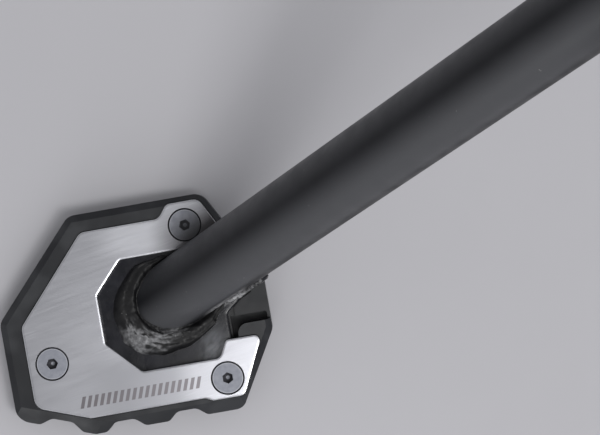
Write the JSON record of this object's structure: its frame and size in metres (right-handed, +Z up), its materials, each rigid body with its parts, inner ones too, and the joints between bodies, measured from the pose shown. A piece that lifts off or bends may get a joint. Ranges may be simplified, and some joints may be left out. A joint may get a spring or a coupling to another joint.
{
  "type": "motorcycle kickstand",
  "caption": "Motorcycle side stand: a tubular leg on a pivoting yoke and bracket with nested springs, and a widened foot with a brushed clamp plate.",
  "frame": {"origin": "middle of the bracket's mounting face, where the stand meets the motorcycle's frame", "axes": "+X to the motorcycle's rear, +Y inboard, out of the mounting face, +Z up; the stand is folded out with its sole level"},
  "size_m": [0.3274, 0.1893, 0.3372],
  "materials": {
    "powder_coat": "satin black powder coat",
    "foot_paint": "semi-gloss black paint over pressed steel",
    "weld_paint": "black paint over a weld bead, worn to bare steel in one patch",
    "black_anodised": "black anodised, satin",
    "brushed_plate": "brushed in one direction, clear anodised",
    "screw_steel": "satin zinc plate",
    "zinc_plate": "zinc plate",
    "nylon": "matt",
    "bronze": "turned bronze",
    "black_plastic": "moulded, fine grain",
    "rubber": "matt",
    "cast_black": "black painted casting",
    "spring_steel": "dark, oiled"
  },
  "bodies": {
    "bracket": {"mount_bracket": "cast_black", "pivot_bush": "bronze", "spring_anchor_pin": "zinc_plate", "switch_housing": "black_plastic", "cable_gland": "rubber", "switch_pin": "zinc_plate"},
    "leg": {"leg_tube": "powder_coat", "pivot_yoke": "powder_coat", "yoke_weld": "powder_coat", "spring_post": "zinc_plate", "post_weld": "powder_coat", "foot_plate": "foot_paint", "foot_weld": "weld_paint", "extension_base": "black_anodised", "clamp_plate": "brushed_plate", "clamp_screw_1": "screw_steel", "clamp_screw_2": "screw_steel", "clamp_screw_3": "screw_steel", "pivot_bolt": "zinc_plate", "lock_nut": "zinc_plate", "nut_locking_ring": "nylon", "thrust_washer_outer": "bronze", "thrust_washer_inner": "bronze", "switch_rotor": "black_plastic", "switch_screw": "zinc_plate"},
    "springs": {"outer_spring": "spring_steel", "inner_spring": "spring_steel"}
  },
  "joints": [
    {"name": "leg_fold", "type": "hinge", "parent": "bracket", "child": "leg", "pos_m": [0, -0.044, -0.056], "axis": [-0.0662, -0.9048, 0.4206], "range_deg": [0, 110]},
    {"name": "spring_swing", "type": "hinge", "parent": "bracket", "child": "springs", "pos_m": [-0.00978, -0.06339, -0.01724], "axis": [-0.0662, -0.9048, 0.4206], "range_deg": [0, 77.3], "deforming": ["outer_spring", "inner_spring"]}
  ],
  "couplings": [
    {"joint": "spring_swing", "follows": "leg_fold", "ratio": 0.70229}
  ]
}
